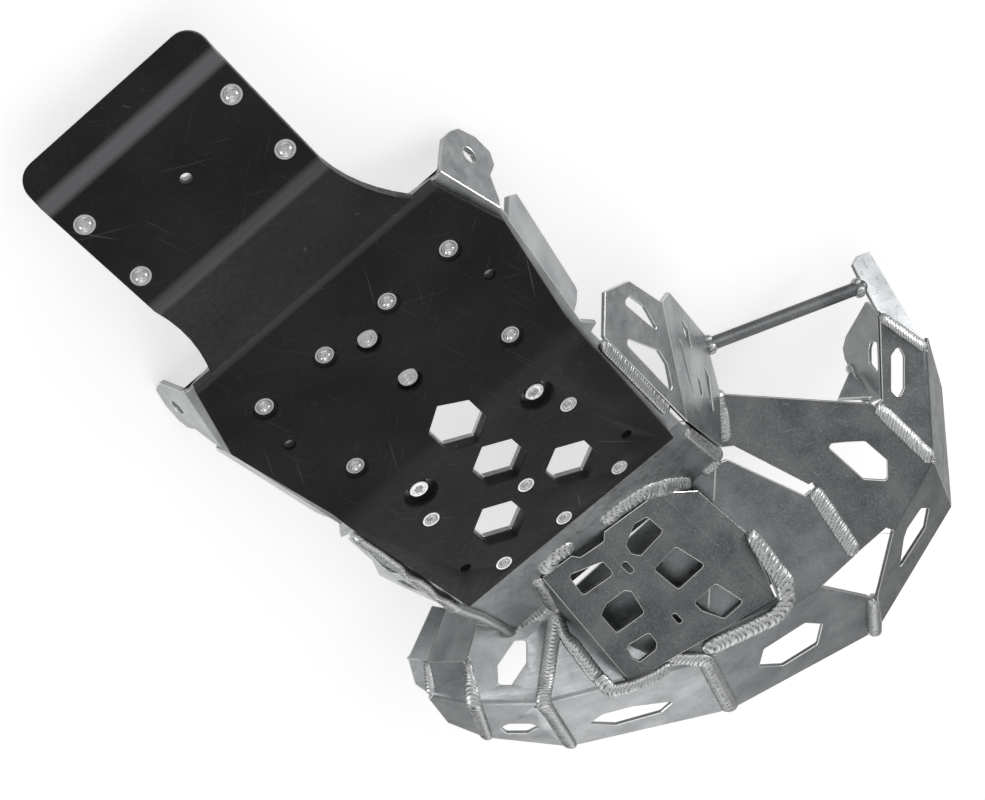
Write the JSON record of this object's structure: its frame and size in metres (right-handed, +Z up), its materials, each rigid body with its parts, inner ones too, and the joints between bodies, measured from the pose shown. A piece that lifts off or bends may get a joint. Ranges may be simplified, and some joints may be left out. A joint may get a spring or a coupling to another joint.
{
  "type": "motorcycle skid plate",
  "caption": "Bent aluminium skid plate with a black plastic glide plate and link tongue, and a welded, windowed guard around the exhaust belly at its front.",
  "frame": {"origin": "midway between the rear pair of plain holes, at the face where the aluminium sheet meets the glide plate", "axes": "+X forward on the motorcycle, +Y to its left, +Z up; the glide face looks down"},
  "size_m": [0.8019, 0.454, 0.1759],
  "materials": {
    "sheet_aluminium": "mill-finish sheet, lightly scratched",
    "weld_aluminium": "rippled weld bead",
    "black_plastic": "matt black sheet, lightly scratched",
    "zinc_steel": "bright zinc"
  },
  "bodies": {
    "root": {"glide_plate": "black_plastic", "skid_plate": "sheet_aluminium", "nose_plate": "sheet_aluminium", "left_side_panel": "sheet_aluminium", "left_front_panel": "sheet_aluminium", "centre_panel": "sheet_aluminium", "right_front_panel": "sheet_aluminium", "right_side_panel": "sheet_aluminium", "right_upper_panel": "sheet_aluminium", "top_tab": "sheet_aluminium", "right_inner_wing": "sheet_aluminium", "right_gusset": "sheet_aluminium", "left_end_panel": "sheet_aluminium", "left_inner_wing": "sheet_aluminium", "right_bracket": "sheet_aluminium", "left_bracket": "sheet_aluminium", "brace_bar": "sheet_aluminium", "main_screws": "zinc_steel", "front_screws": "zinc_steel", "tongue_screws": "zinc_steel", "main_nuts": "zinc_steel", "front_nuts": "zinc_steel", "tongue_nuts": "zinc_steel", "centre_bolts": "zinc_steel", "side_bolts": "zinc_steel", "centre_bolt_nuts": "zinc_steel", "side_bolt_nuts": "zinc_steel", "left_end_weld": "weld_aluminium", "left_seam_weld": "weld_aluminium", "centre_seam_weld": "weld_aluminium", "front_seam_weld": "weld_aluminium", "right_seam_weld": "weld_aluminium", "relief_seam_weld": "weld_aluminium", "upper_seam_weld": "weld_aluminium", "tab_seam_weld": "weld_aluminium", "nose_rear_left_weld": "weld_aluminium", "nose_rear_right_weld": "weld_aluminium", "nose_left_weld": "weld_aluminium", "nose_right_weld": "weld_aluminium", "strip_left_weld": "weld_aluminium", "strip_right_weld": "weld_aluminium", "right_bracket_weld": "weld_aluminium", "right_corner_weld": "weld_aluminium", "left_bracket_weld": "weld_aluminium", "side_back_weld": "weld_aluminium", "wing_weld": "weld_aluminium", "bar_welds": "weld_aluminium"}
  },
  "joints": []
}
